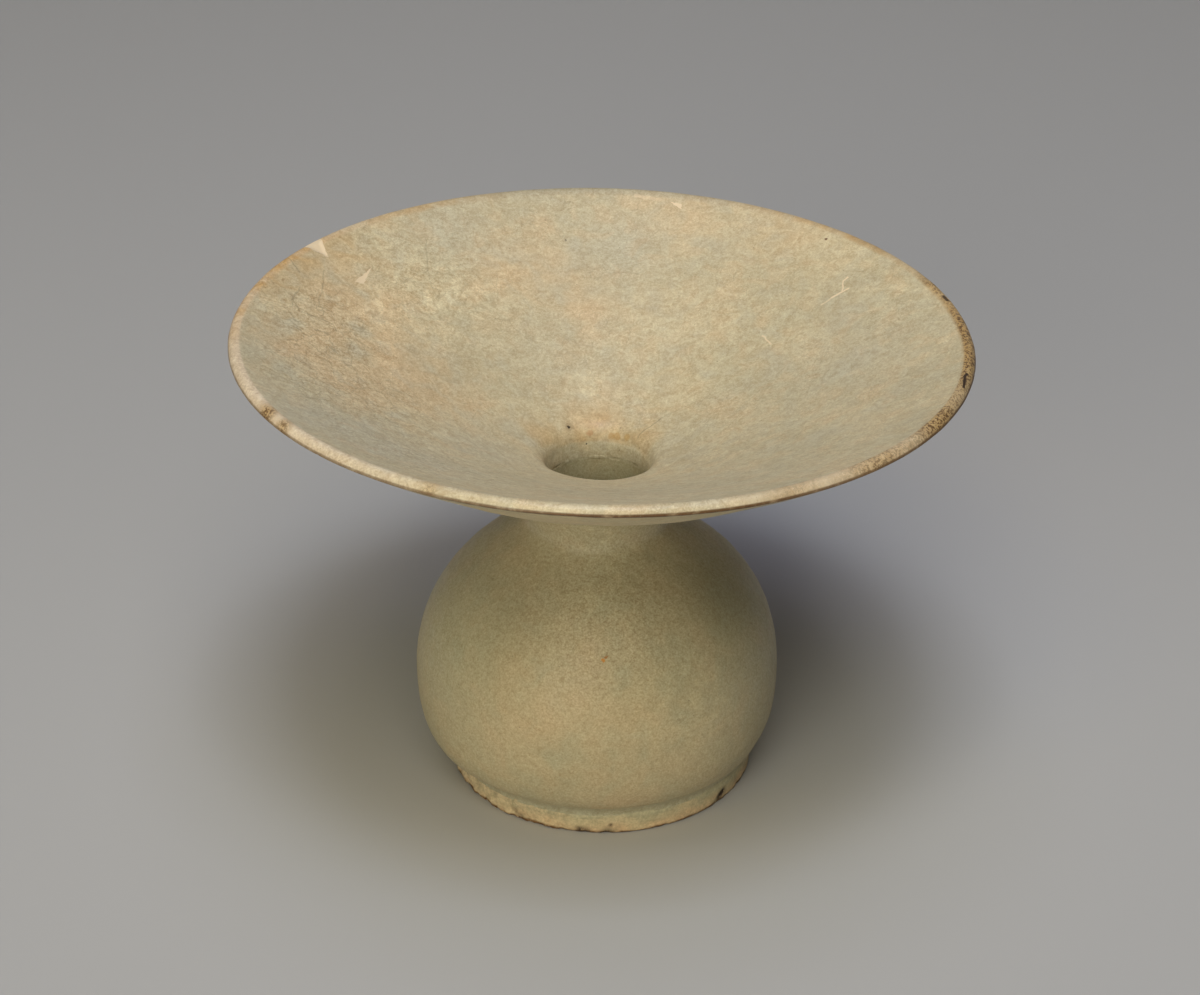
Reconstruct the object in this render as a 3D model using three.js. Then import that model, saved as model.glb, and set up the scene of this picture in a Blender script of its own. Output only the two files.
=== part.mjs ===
// Leys jar in glazed stoneware: a wide dish mouth over a waisted neck and a globe on a low foot ring.
// The potter throws the dish, the globe and the foot ring apart, scores the faces that will meet,
// and lutes them with a ring of slip in each joint before the jar is glazed and fired.
// Millimetres, +Z up, with the origin at the centre of the foot's resting face.

import * as THREE from "three";

// Foot ring
const footRadius = 36.5;
const footHeight = 6.8;
const footWidth = 7.2;
const footInnerDraft = 0.5;
const footShoulderSwell = 0.4;
const footShoulderRadius = 2;
const footOuterChamfer = 0.4;
const footInnerChamfer = 1.3;

// Luted joints: slip between scored faces
const slipThickness = 0.8;
const slipBead = 0.6;
const footSlipSetback = 0.4;
const scoreDepth = 0.8;
const scoreClearance = 0.3;
const scoreRings = 1;

// Globe, with heights above its own base
const globeHeight = 68;
const bellyRadius = 44.1;
const bellyHeight = 18.9;
const baseRadius = 36.2;
const baseHollowRise = 1.2;
const bellyWall = 5.5;
const floorThickness = 5.5;

// Neck, which the globe ends in and the dish continues
const waistRadius = 17.4;
const waistDrop = 8;
const waistFillet = 14;
const neckWall = 4.4;
const neckBoreDepth = 12.6;

// Dish mouth, with heights above its own land
const mouthDiameter = 172;
const throatRadius = 12;
const throatDepth = 4.6;
const brimRadius = 3;
const dishRise = 32.65;
const lipBevelWidth = 2.5;
const lipBevelFall = 1.65;
const lipEdgeRadius = 0.35;

// What the throwing and firing left out of true
const bellyDrift = 1.15;
const neckDrift = 1.15;
const mouthLeanDegrees = 1.26;

// Form of the curves: angles, and shares of the sizes that they follow
const footShoulderDegrees = 60;
const dishCurlDegrees = 2.3;
const undersideCurlDegrees = 2.2;
const lipUnderDegrees = -60;
const lipRoundShare = 0.3;
const lipSwellShare = 0.65;
const heelBellyShare = 0.627;
const heelBaseShare = 0.67;
const heelRiseShare = 0.056;
const shoulderBellyShare = 0.69;
const shoulderNeckShare = 0.13;
const floorBellyShare = 0.72;
const floorCentreShare = 0.68;
const hollowMiddleShare = 0.5;
const heelTopShare = 0.2;
const scoreWidthShare = 0.4;
const midShare = 0.5;

// Facets round the axis
const dishFacets = 72;
const globeFacets = 60;
const footFacets = 60;
const neckSlipFacets = 36;
const footSlipFacets = 48;

// Levels of the pieces, stacked from the resting face
const footSlipLevel = footHeight;
const globeLevel = footSlipLevel + slipThickness;
const bellyLevel = globeLevel + bellyHeight;
const neckSlipLevel = globeLevel + globeHeight;
const waistLevel = neckSlipLevel - waistDrop;
const dishLevel = neckSlipLevel + slipThickness;
const brimLevel = dishLevel + throatDepth;
const lipLevel = brimLevel + dishRise;

// Radii shared by pieces that meet
const footTopInnerRadius = footRadius - footWidth - footInnerDraft;
const footShoulderInset = footShoulderRadius * (1 - Math.cos(THREE.MathUtils.degToRad(footShoulderDegrees)));
const footTopOuterRadius = footRadius + footShoulderSwell - footShoulderInset;
const footSlipOuterRadius = footTopOuterRadius - footSlipSetback;
const neckBoreRadius = waistRadius - neckWall;
const mouthRadius = mouthDiameter / 2;
const brimCentreRadius = throatRadius + brimRadius;
const dishSlopeDegrees = THREE.MathUtils.radToDeg(Math.atan2(dishRise, mouthRadius - brimCentreRadius));

const at = (radius, height) => new THREE.Vector2(radius, height);

// Points of an arc from one angle to another, both ends included.
function arc(centre, radius, fromDegrees, toDegrees, steps) {
  const points = [];
  for (let step = 0; step <= steps; step++) {
    const degrees = THREE.MathUtils.lerp(fromDegrees, toDegrees, step / steps);
    const angle = THREE.MathUtils.degToRad(degrees);
    points.push(at(centre.x + radius * Math.cos(angle), centre.y + radius * Math.sin(angle)));
  }
  return points;
}

// Points of a curve that leaves its start at a slope and bends evenly to its end.
function bowed(start, end, startDegrees, steps) {
  const run = (end.x - start.x) * midShare;
  const slope = Math.tan(THREE.MathUtils.degToRad(startDegrees));
  const control = at(start.x + run, start.y + run * slope);
  return new THREE.QuadraticBezierCurve(start, control, end).getPoints(steps);
}

// Points of a curve between two upright or level tangents, given as its two handles.
function eased(start, startHandle, endHandle, end, steps) {
  return new THREE.CubicBezierCurve(start, startHandle, endHandle, end).getPoints(steps);
}

// Outer radius of the waist above its narrowest level, up to where the dish flares.
function waistRadiusAt(level) {
  const rise = level - waistLevel;
  return waistRadius + waistFillet - Math.sqrt(waistFillet ** 2 - rise ** 2);
}

// A level land between two radii with V-shaped rings in it, depth up or down.
// The rings lie evenly between the seat's own two radii, so that both faces of a joint agree.
function scoredLand(fromRadius, toRadius, height, seat, depth) {
  const spacing = (seat.outer - seat.inner) / (scoreRings + 1);
  const halfWidth = spacing * scoreWidthShare * (Math.abs(depth) / scoreDepth);
  const rings = [];
  for (let ring = 1; ring <= scoreRings; ring++) {
    const middle = seat.inner + ring * spacing;
    rings.push([
      at(middle - halfWidth, height),
      at(middle, height + depth),
      at(middle + halfWidth, height),
    ]);
  }
  const inOrder = fromRadius < toRadius ? rings.flat() : rings.flat().reverse();
  return [at(fromRadius, height), ...inOrder, at(toRadius, height)];
}

const neckSeat = { inner: neckBoreRadius, outer: waistRadiusAt(neckSlipLevel) };
const footSeat = { inner: footTopInnerRadius, outer: footSlipOuterRadius };
const ridgeDepth = scoreDepth - scoreClearance;

// How far the jar's axis wanders along X at a level, eased from one known level to the next.
function driftAt(level) {
  const known = [
    [globeLevel, 0],
    [globeLevel + bellyHeight * heelTopShare, -bellyDrift],
    [bellyLevel, -bellyDrift],
    [waistLevel, -neckDrift],
    [dishLevel, -neckDrift],
    [lipLevel, 0],
  ];
  if (level <= known[0][0]) return known[0][1];
  for (let index = 1; index < known.length; index++) {
    const [low, lowDrift] = known[index - 1];
    const [high, highDrift] = known[index];
    if (level <= high) {
      return THREE.MathUtils.lerp(lowDrift, highDrift, THREE.MathUtils.smoothstep(level, low, high));
    }
  }
  return known.at(-1)[1];
}

// How far the dish sinks at a place because the mouth leans down towards +X.
function sinkAt(x, level) {
  const slope = Math.tan(THREE.MathUtils.degToRad(mouthLeanDegrees));
  return x * slope * THREE.MathUtils.smoothstep(level, dishLevel, brimLevel);
}

// A closed profile turned about +Z, then moved out of true as the levels it reaches are.
function thrown(profile, facets, level) {
  const geometry = new THREE.LatheGeometry(profile, facets);
  geometry.rotateX(Math.PI / 2);
  const position = geometry.getAttribute("position");
  for (let index = 0; index < position.count; index++) {
    const x = position.getX(index);
    const height = position.getZ(index);
    position.setX(index, x + driftAt(level + height));
    position.setZ(index, height - sinkAt(x, level + height));
  }
  geometry.computeVertexNormals();
  return geometry;
}

// The foot ring, chamfered where it rests and rounded at the shoulder below the joint.
function footProfile() {
  const innerFoot = footRadius - footWidth;
  const shoulder = at(footRadius + footShoulderSwell - footShoulderRadius, footHeight - footShoulderRadius);
  const swell = arc(shoulder, footShoulderRadius, 0, footShoulderDegrees, 4);
  return [
    at(innerFoot + footInnerChamfer, 0),
    at(footRadius - footOuterChamfer, 0),
    at(footRadius, footOuterChamfer),
    ...swell,
    ...scoredLand(footTopOuterRadius, footTopInnerRadius, footHeight, footSeat, -scoreDepth),
    at(innerFoot, footInnerChamfer),
    at(innerFoot + footInnerChamfer, 0),
  ];
}

// A ring of slip, ridged where it fills the scores, with a bead squeezed out inwards.
function slipProfile(seat, bottomOuter, topOuter) {
  const bead = new THREE.QuadraticBezierCurve(
    at(seat.inner, slipThickness),
    at(seat.inner - 2 * slipBead, slipThickness * midShare),
    at(seat.inner, 0),
  );
  return [
    ...scoredLand(seat.inner, bottomOuter, 0, seat, -ridgeDepth),
    ...scoredLand(topOuter, seat.inner, slipThickness, seat, ridgeDepth),
    ...bead.getPoints(4).slice(1),
  ];
}

// The globe with its neck: hollowed base, trimmed heel, belly, shoulder, scored rim, bore and floor.
function globeProfile() {
  const belly = at(bellyRadius, bellyHeight);
  const base = at(baseRadius, 0);
  const waist = at(waistRadius, waistLevel - globeLevel);
  const hollowEdge = at(footTopInnerRadius - slipBead, 0);
  const hollow = new THREE.QuadraticBezierCurve(
    at(0, baseHollowRise),
    at(hollowEdge.x * hollowMiddleShare, baseHollowRise),
    hollowEdge,
  );
  const heel = eased(
    base,
    at(base.x + (belly.x - base.x) * heelBaseShare, belly.y * heelRiseShare),
    at(belly.x, belly.y * (1 - heelBellyShare)),
    belly,
    8,
  );
  const shoulderRise = waist.y - belly.y;
  const shoulder = eased(
    belly,
    at(belly.x, belly.y + shoulderRise * shoulderBellyShare),
    at(waist.x, waist.y - shoulderRise * shoulderNeckShare),
    waist,
    12,
  );
  const waistSteps = 4;
  const neck = [];
  for (let step = 1; step < waistSteps; step++) {
    const level = waistLevel + (waistDrop * step) / waistSteps;
    neck.push(at(waistRadiusAt(level), level - globeLevel));
  }
  const boreEnd = at(neckBoreRadius, globeHeight - neckBoreDepth);
  const innerBelly = at(bellyRadius - bellyWall, bellyHeight);
  const innerRise = boreEnd.y - innerBelly.y;
  const innerShoulder = eased(
    boreEnd,
    at(boreEnd.x, boreEnd.y - innerRise * shoulderNeckShare),
    at(innerBelly.x, innerBelly.y + innerRise * shoulderBellyShare),
    innerBelly,
    8,
  );
  const floor = at(0, floorThickness);
  const floorCurve = eased(
    innerBelly,
    at(innerBelly.x, innerBelly.y - (innerBelly.y - floor.y) * floorBellyShare),
    at(innerBelly.x * floorCentreShare, floor.y),
    floor,
    7,
  );
  return [
    ...hollow.getPoints(3).slice(0, -1),
    ...scoredLand(hollowEdge.x, baseRadius, 0, footSeat, scoreDepth),
    ...heel.slice(1),
    ...shoulder.slice(1),
    ...neck,
    ...scoredLand(neckSeat.outer, neckSeat.inner, globeHeight, neckSeat, -scoreDepth),
    ...innerShoulder,
    ...floorCurve.slice(1),
  ];
}

// The lip from its sharp lower edge over a swelling bevel to the crest where the dish begins.
function lipProfile() {
  const edge = at(mouthRadius - lipEdgeRadius, lipLevel - dishLevel);
  const crest = at(mouthRadius - lipBevelWidth, edge.y + lipBevelFall);
  const swellRise = lipBevelFall * lipSwellShare * midShare;
  const swell = at(mouthRadius - lipBevelWidth * lipRoundShare, crest.y + swellRise);
  const under = arc(edge, lipEdgeRadius, lipUnderDegrees, 0, 2);
  return [...under, ...new THREE.QuadraticBezierCurve(under.at(-1), swell, crest).getPoints(5).slice(1)];
}

// The dish mouth: scored land, flaring underside, bevelled lip, shallow dish, rounded brim and throat.
function dishProfile() {
  const waistCentre = at(waistRadius + waistFillet, waistLevel - dishLevel);
  const landOuter = waistRadiusAt(dishLevel);
  const landDegrees = THREE.MathUtils.radToDeg(Math.asin((dishLevel - waistLevel) / waistFillet));
  const underStartDegrees = dishSlopeDegrees - undersideCurlDegrees;
  const flare = arc(waistCentre, waistFillet, 180 - landDegrees, 90 + underStartDegrees, 4);
  const lip = lipProfile();
  const underside = bowed(flare.at(-1), lip[0], underStartDegrees, 7);
  const brimCentre = at(brimCentreRadius, throatDepth);
  const innerStartDegrees = dishSlopeDegrees - dishCurlDegrees;
  const brim = arc(brimCentre, brimRadius, 90 + innerStartDegrees, 180, 5);
  const inside = bowed(brim[0], lip.at(-1), innerStartDegrees, 7).reverse();
  return [
    ...scoredLand(throatRadius, landOuter, 0, neckSeat, scoreDepth),
    ...flare.slice(1),
    ...underside.slice(1),
    ...lip.slice(1),
    ...inside.slice(1),
    ...brim.slice(1),
    at(throatRadius, 0),
  ];
}

const glaze = new THREE.MeshStandardMaterial({ color: 0xb0a386, roughness: 0.45, metalness: 0 });
const footClay = new THREE.MeshStandardMaterial({ color: 0xb59b74, roughness: 0.8, metalness: 0 });
const driedSlip = new THREE.MeshStandardMaterial({ color: 0x9fa08a, roughness: 0.7, metalness: 0 });

// A named piece standing at its level in the stack.
function piece(name, profile, facets, level, material) {
  const mesh = new THREE.Mesh(thrown(profile, facets, level), material);
  mesh.name = name;
  mesh.position.z = level;
  return mesh;
}

const neckSlip = slipProfile(neckSeat, neckSeat.outer, waistRadiusAt(dishLevel));
const footSlip = slipProfile(footSeat, footSeat.outer, footSeat.outer);

const jar = new THREE.Group();
jar.add(
  piece("foot_ring", footProfile(), footFacets, 0, footClay),
  piece("foot_slip_ring", footSlip, footSlipFacets, footSlipLevel, driedSlip),
  piece("globe_body", globeProfile(), globeFacets, globeLevel, glaze),
  piece("neck_slip_ring", neckSlip, neckSlipFacets, neckSlipLevel, driedSlip),
  piece("mouth_dish", dishProfile(), dishFacets, dishLevel, glaze),
);

export default jar;
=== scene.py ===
"""Leys jar in celadon-glazed stoneware: fired pieces, finishes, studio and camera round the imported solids."""

import logging
import math
from dataclasses import dataclass, field
from enum import Enum

import bpy
import numpy as np
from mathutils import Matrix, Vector


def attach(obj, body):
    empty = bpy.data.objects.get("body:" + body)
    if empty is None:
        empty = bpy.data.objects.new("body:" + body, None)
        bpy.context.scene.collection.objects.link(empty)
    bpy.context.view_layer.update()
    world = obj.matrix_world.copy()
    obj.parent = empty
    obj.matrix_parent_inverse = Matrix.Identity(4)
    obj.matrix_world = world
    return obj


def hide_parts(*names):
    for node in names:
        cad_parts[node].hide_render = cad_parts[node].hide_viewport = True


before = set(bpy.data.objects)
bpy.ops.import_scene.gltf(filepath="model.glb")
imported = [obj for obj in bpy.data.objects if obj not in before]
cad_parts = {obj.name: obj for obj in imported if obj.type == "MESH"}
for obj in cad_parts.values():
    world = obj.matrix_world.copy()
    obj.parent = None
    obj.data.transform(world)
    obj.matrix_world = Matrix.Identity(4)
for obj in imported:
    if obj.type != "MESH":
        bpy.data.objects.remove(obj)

LOG = logging.getLogger("leys_jar")
MM = 0.001

BODY_LEVEL = 7.6 * MM
JOINT_LEVEL = 76.4 * MM
WAIST_RADIUS = 17.4 * MM
WAIST_FILLET = 14 * MM
THROAT_RADIUS = 11.9 * MM
SLIP_THICKNESS = 0.8 * MM
SHARP_ANGLE = 50.0

Point = tuple[float, float]
Colour = tuple[float, float, float]
Shares = tuple[tuple[float, float], ...]
Socket = bpy.types.NodeSocket


class Zone(Enum):
    """The stretches of a piece's outline, which differ in finish and in relief."""

    LAND = "land"
    UNDERSIDE = "underside"
    LIP_EDGE = "lip_edge"
    LIP = "lip"
    DISH = "dish"
    BRIM = "brim"
    THROAT = "throat"
    OUTSIDE = "outside"
    INSIDE = "inside"
    REST = "rest"
    FOOT_WALL = "foot_wall"
    SHOULDER = "shoulder"


class Tint(Enum):
    """Mesh attributes that carry how much of a local colouring a place has."""

    WARM = "warm"
    COOL = "cool"
    # paler glaze on the dish, and painted light on the body's neck and belly
    PALE_AND_LIT = "pale"
    HAIR = "hairy"
    LIP = "lip_band"
    EDGE = "lip_line"
    # rust on the lip, and on the foot rust that is partly painted contact shadow at the bottom edge
    RUST_AND_CONTACT_SHADE = "rust"
    OCHRE = "ochre"
    BARE = "bare_clay"
    BURNT = "burnt"
    # glaze pooled at the heel, in the joints and on the foot, darker patches on the dish, and painted shade on
    # the body's shoulders and along the back of the lip
    POOL_AND_SHADE = "pooled_glaze_and_shade"
    GRIT = "kiln_grit"


class Slot(Enum):
    """Material slots of the record."""

    GLAZE = "celadon_glaze"
    FOOT = "foot_clay"
    SLIP = "luting_slip"


def smooth(value: np.ndarray, low: float, high: float) -> np.ndarray:
    """Ease a value from 0 at low to 1 at high.

    Args:
        value: Values to ease.
        low: Where the result starts to leave 0.
        high: Where the result reaches 1.

    Returns:
        The eased values.
    """
    share = np.clip((value - low) / (high - low), 0.0, 1.0)
    return share * share * (3.0 - 2.0 * share)


def plan(azimuth: float, radius: float) -> Point:
    """Place of a mark seen from above.

    Args:
        azimuth: Degrees from +X towards +Y.
        radius: Distance from the origin's axis in metres.

    Returns:
        Its x and y.
    """
    angle = math.radians(azimuth)
    return radius * math.cos(angle), radius * math.sin(angle)


@dataclass(frozen=True)
class Ripple:
    """A smooth seeded unevenness with unit spread, made of plane waves."""

    wavelength: float
    seed: int
    waves: int = 28

    def at(self, places: np.ndarray) -> np.ndarray:
        """Value of the unevenness at places.

        Args:
            places: Array whose last axis is x, y and z in metres.

        Returns:
            One value for each place.
        """
        draw = np.random.default_rng(self.seed)
        ways = draw.normal(size=(self.waves, 3))
        ways /= np.linalg.norm(ways, axis=1, keepdims=True)
        lengths = self.wavelength * draw.uniform(0.6, 1.7, self.waves)
        phases = draw.uniform(0.0, 2.0 * math.pi, self.waves)
        total = np.zeros(places.shape[:-1])
        for way, length, phase in zip(ways, lengths, phases):
            total += np.cos(places @ (way * (2.0 * math.pi / length)) + phase)
        return total * math.sqrt(2.0 / self.waves)


@dataclass(frozen=True)
class Throwing:
    """How the axis wanders and the mouth leans, by level above the resting face."""

    base: float = BODY_LEVEL
    heel: float = 11.38 * MM
    joint: float = JOINT_LEVEL
    brim: float = 81.0 * MM
    lip: float = 113.65 * MM
    body_drift: float = 1.15 * MM
    lean: float = 1.26

    def drift(self, level: np.ndarray) -> np.ndarray:
        """Offset of the axis along X.

        Args:
            level: Heights above the resting face in metres.

        Returns:
            The offset at each, in metres.
        """
        fall = smooth(level, self.base, self.heel)
        rise = smooth(level, self.joint, self.lip)
        return -self.body_drift * np.minimum(fall, 1.0 - rise)

    def sink(self, x: np.ndarray, level: np.ndarray) -> np.ndarray:
        """Drop of the dish at each place, in metres."""
        return x * math.tan(math.radians(self.lean)) * smooth(level, self.joint, self.brim)


THROWING = Throwing()


def arc(centre: Point, radius: float, first: float, last: float, steps: int) -> list[Point]:
    """Points of an arc, both ends included.

    Args:
        centre: Radius and height of its centre.
        radius: Radius of the arc.
        first: Start angle in degrees.
        last: End angle in degrees.
        steps: Number of chords.

    Returns:
        The points in order.
    """
    angles = np.radians(np.linspace(first, last, steps + 1))
    return [(centre[0] + radius * math.cos(a), centre[1] + radius * math.sin(a)) for a in angles]


def curve(handles: list[Point], steps: int, gather: float = 1.0) -> list[Point]:
    """Points of a Bezier curve of any degree.

    Args:
        handles: Its ends and the handles between them.
        steps: Number of chords.
        gather: Above 1 the points lie closer at the far end, below 1 at the near end.

    Returns:
        The points in order, both ends included.
    """
    degree = len(handles) - 1
    points = []
    for step in range(steps + 1):
        t = 1.0 - (1.0 - step / steps) ** gather
        shares = [math.comb(degree, k) * t**k * (1 - t) ** (degree - k) for k in range(degree + 1)]
        points.append(tuple(sum(s * h[axis] for s, h in zip(shares, handles)) for axis in (0, 1)))
    return points


def bowed(start: Point, end: Point, slope: float) -> list[Point]:
    """Handles of an even bend that leaves its start at a slope in degrees."""
    half = (end[0] - start[0]) / 2
    return [start, (start[0] + half, start[1] + half * math.tan(math.radians(slope))), end]


@dataclass
class Outline:
    """Radius and height of a piece's section, anticlockwise, with a zone for each point."""

    points: list[Point] = field(default_factory=list)
    zones: list[Zone] = field(default_factory=list)

    def add(self, zone: Zone, points: list[Point]) -> None:
        """Append a stretch, leaving out a point that repeats the last one.

        Args:
            zone: Zone of the stretch.
            points: Its points in order.
        """
        for point in points:
            if self.points and math.dist(point, self.points[-1]) < 1e-7:
                self.zones[-1] = zone
                continue
            self.points.append(point)
            self.zones.append(zone)

    def closed(self) -> bool:
        """Whether the section is a loop clear of the axis."""
        return min(point[0] for point in self.points) > 1e-6


@dataclass
class Turned:
    """An outline swept round the axis, as arrays of rows by columns."""

    radius: np.ndarray
    height: np.ndarray
    angle: np.ndarray
    along: np.ndarray
    zones: np.ndarray
    out: np.ndarray
    rise: np.ndarray
    level: float

    def places(self, relief: np.ndarray | float = 0.0) -> np.ndarray:
        """Places of the vertices with some relief along the outline's normal.

        Args:
            relief: Metres outwards for each row and column.

        Returns:
            Array of rows by columns by x, y and z.
        """
        radius = self.radius + relief * self.out
        height = self.height + relief * self.rise + 0.0 * self.angle
        radius = radius + 0.0 * self.angle
        x = radius * np.cos(self.angle)
        level = self.level + height
        spot = (x + THROWING.drift(level), radius * np.sin(self.angle), level - THROWING.sink(x, level))
        return np.stack(spot, axis=-1)

    def mask(self, *zones: Zone) -> np.ndarray:
        """1 in the rows of the named zones and 0 elsewhere, as a column."""
        names = [zone.value for zone in zones]
        return np.isin(self.zones, names).astype(float)[:, None]


def sweep(outline: Outline, angles: np.ndarray, level: float) -> Turned:
    """Sweep an outline round the axis.

    Args:
        outline: The section.
        angles: Angle of each column in radians.
        level: Height of the section's own zero above the resting face.

    Returns:
        The swept arrays, with the outline's normals.
    """
    points = np.array(outline.points)
    closed = outline.closed()
    after = np.roll(points, -1, axis=0) if closed else np.vstack([points[1:], points[-1:]])
    before = np.roll(points, 1, axis=0) if closed else np.vstack([points[:1], points[:-1]])
    way = after - before
    way /= np.maximum(np.linalg.norm(way, axis=1, keepdims=True), 1e-12)
    steps = np.linalg.norm(np.diff(points, axis=0), axis=1)
    return Turned(
        radius=points[:, :1],
        height=points[:, 1:],
        angle=angles[None, :],
        along=np.concatenate([[0.0], np.cumsum(steps)])[:, None],
        zones=np.array([zone.value for zone in outline.zones]),
        out=way[:, 1:],
        rise=-way[:, :1],
        level=level,
    )


def even_columns(count: int) -> np.ndarray:
    """Angles of evenly spaced columns, in radians."""
    return np.arange(count) * (2.0 * math.pi / count)


def gathered_columns(count: int, azimuths: tuple[float, ...], width: float, extra: float) -> np.ndarray:
    """Angles of columns that lie closer round some azimuths.

    Args:
        count: Number of columns.
        azimuths: Where they gather, in degrees.
        width: Half width of each gathering, in degrees.
        extra: How much denser they are there.

    Returns:
        The angles in radians, from 0 up.
    """
    fine = np.linspace(0.0, 360.0, 7201)
    density = np.ones_like(fine)
    for azimuth in azimuths:
        away = (fine - azimuth + 180.0) % 360.0 - 180.0
        density += extra * np.exp(-((away / width) ** 2))
    filled = np.concatenate([[0.0], np.cumsum((density[1:] + density[:-1]) / 2)])
    return np.radians(np.interp(np.arange(count) / count * filled[-1], filled, fine))


def woven_faces(rows: int, columns: int, closed: bool) -> list[tuple[int, ...]]:
    """Faces between rows and columns, with fans where the section starts and ends on the axis.

    Args:
        rows: Number of rows, without the two poles of an open section.
        columns: Number of columns.
        closed: Whether the last row joins the first.

    Returns:
        The vertex numbers of each face, all facing out.
    """
    grid = np.arange(rows * columns).reshape(rows, columns)
    upper = np.roll(grid, -1, axis=0) if closed else grid[1:]
    lower = grid if closed else grid[:-1]
    quads = np.stack([lower, np.roll(lower, -1, 1), np.roll(upper, -1, 1), upper], -1).reshape(-1, 4)
    faces = [tuple(quad) for quad in quads.tolist()]
    if closed:
        return faces
    first, last = rows * columns, rows * columns + 1
    for column in range(columns):
        following = (column + 1) % columns
        faces.append((first, int(grid[0, following]), int(grid[0, column])))
        faces.append((last, int(grid[-1, column]), int(grid[-1, following])))
    return faces


@dataclass(frozen=True)
class Patch:
    """A soft-edged place of one tint, seen from above or, with a height, on the body's side."""

    tint: Tint
    azimuth: float
    radius: float
    spread: float
    amount: float = 1.0
    height: float | None = None

    def at(self, places: np.ndarray) -> np.ndarray:
        """How much of the tint each place has.

        Args:
            places: Array whose last axis is x, y and z in metres.

        Returns:
            Amounts that fade with distance.
        """
        x, y = plan(self.azimuth, self.radius)
        away = (places[..., 0] - x) ** 2 + (places[..., 1] - y) ** 2
        if self.height is not None:
            away = away + (places[..., 2] - self.height) ** 2
        return self.amount * np.exp(-away / self.spread**2)


def patches_of(tint: Tint, *rows: tuple[float, ...]) -> tuple[Patch, ...]:
    """Patches of one tint.

    Args:
        tint: Their tint.
        rows: Azimuth in degrees, radius and spread in millimetres and amount of each patch, with its
            height in millimetres last where it lies on a side.

    Returns:
        The patches in the same order.
    """
    made = []
    for azimuth, radius, spread, amount, *height in rows:
        level = height[0] * MM if height else None
        made.append(Patch(tint, azimuth, radius * MM, spread * MM, amount, level))
    return tuple(made)


@dataclass(frozen=True)
class Flake:
    """A three-cornered flake of glaze and clay knocked off, given by its corners seen from above."""

    corners: tuple[Point, Point, Point]
    depth: float
    blur: float = 0.3 * MM

    def edges(self) -> list[tuple[float, float, float]]:
        """Edges of the flake seen from above.

        Returns:
            X and y of each edge's inward direction, and the edge's offset along it in metres.
        """
        spots = [np.array(plan(*corner)) for corner in self.corners]
        middle = sum(spots) / 3
        found = []
        for index, spot in enumerate(spots):
            edge = spots[(index + 1) % 3] - spot
            inward = np.array([-edge[1], edge[0]]) / np.linalg.norm(edge)
            if inward @ (middle - spot) < 0:
                inward = -inward
            found.append((float(inward[0]), float(inward[1]), float(inward @ spot)))
        return found

    def hollow(self, places: np.ndarray) -> np.ndarray:
        """Relief of the flake at each place, in metres, below zero."""
        inside = [places[..., 0] * x + places[..., 1] * y - offset for x, y, offset in self.edges()]
        return -self.depth * smooth(np.minimum.reduce(inside), -self.blur / 2, 3 * self.blur)


@dataclass
class ThrownPiece:
    """A piece made on the wheel: its outline, its relief and the tints of its surface."""

    name: str
    node: str
    slot: Slot
    level: float
    columns: int

    def angles(self) -> np.ndarray:
        """Angles of the columns, in radians."""
        return even_columns(self.columns)

    def outline(self) -> Outline:
        """The piece's section, which each piece gives."""
        raise NotImplementedError

    def relief(self, turned: Turned) -> np.ndarray:
        """Metres outwards for each row and column."""
        return np.zeros((turned.radius.shape[0], turned.angle.shape[1]))

    def tints(self, turned: Turned, places: np.ndarray) -> dict[Tint, np.ndarray]:
        """Amounts of each tint, which a piece without any leaves empty."""
        return {}

    def gather(
        self, found: dict[Tint, np.ndarray], patches: tuple[Patch, ...], at: np.ndarray, on: np.ndarray
    ) -> None:
        """Add the patches' amounts to those found so far.

        Args:
            found: Amounts of each tint, which this changes.
            patches: The patches to add.
            at: Places of the vertices.
            on: How far the patches count at each vertex.
        """
        for patch in patches:
            found[patch.tint] = found.get(patch.tint, 0.0) + patch.at(at) * on

    def build(self) -> bpy.types.Object:
        """Make the piece's mesh and put it in the scene for the node that it stands for.

        Returns:
            The new object.
        """
        outline = self.outline()
        turned = sweep(outline, self.angles(), self.level)
        places = turned.places(self.relief(turned))
        tints = self.tints(turned, places)
        closed = outline.closed()
        if closed:
            spots = places.reshape(-1, 3)
            rows = places.shape[0]
        else:
            poles = np.stack([places[0].mean(axis=0), places[-1].mean(axis=0)])
            spots = np.vstack([places[1:-1].reshape(-1, 3), poles])
            rows = places.shape[0] - 2
        mesh = bpy.data.meshes.new(self.name)
        mesh.from_pydata(spots.tolist(), [], woven_faces(rows, places.shape[1], closed))
        mesh.shade_smooth()
        mesh.set_sharp_from_angle(angle=math.radians(SHARP_ANGLE))
        for tint, amounts in tints.items():
            full = np.broadcast_to(amounts, places.shape[:2])
            values = full.reshape(-1) if closed else np.append(full[1:-1].reshape(-1), [0.0, 0.0])
            layer = mesh.attributes.new(tint.value, "FLOAT", "POINT")
            layer.data.foreach_set("value", np.clip(values, 0.0, 1.0).astype(np.float32))
        made = bpy.data.objects.new(self.name, mesh)
        bpy.context.scene.collection.objects.link(made)
        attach(made, "root")
        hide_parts(self.node)
        LOG.info("%s: %d faces for %s", self.name, len(mesh.polygons), self.node)
        return made


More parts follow.
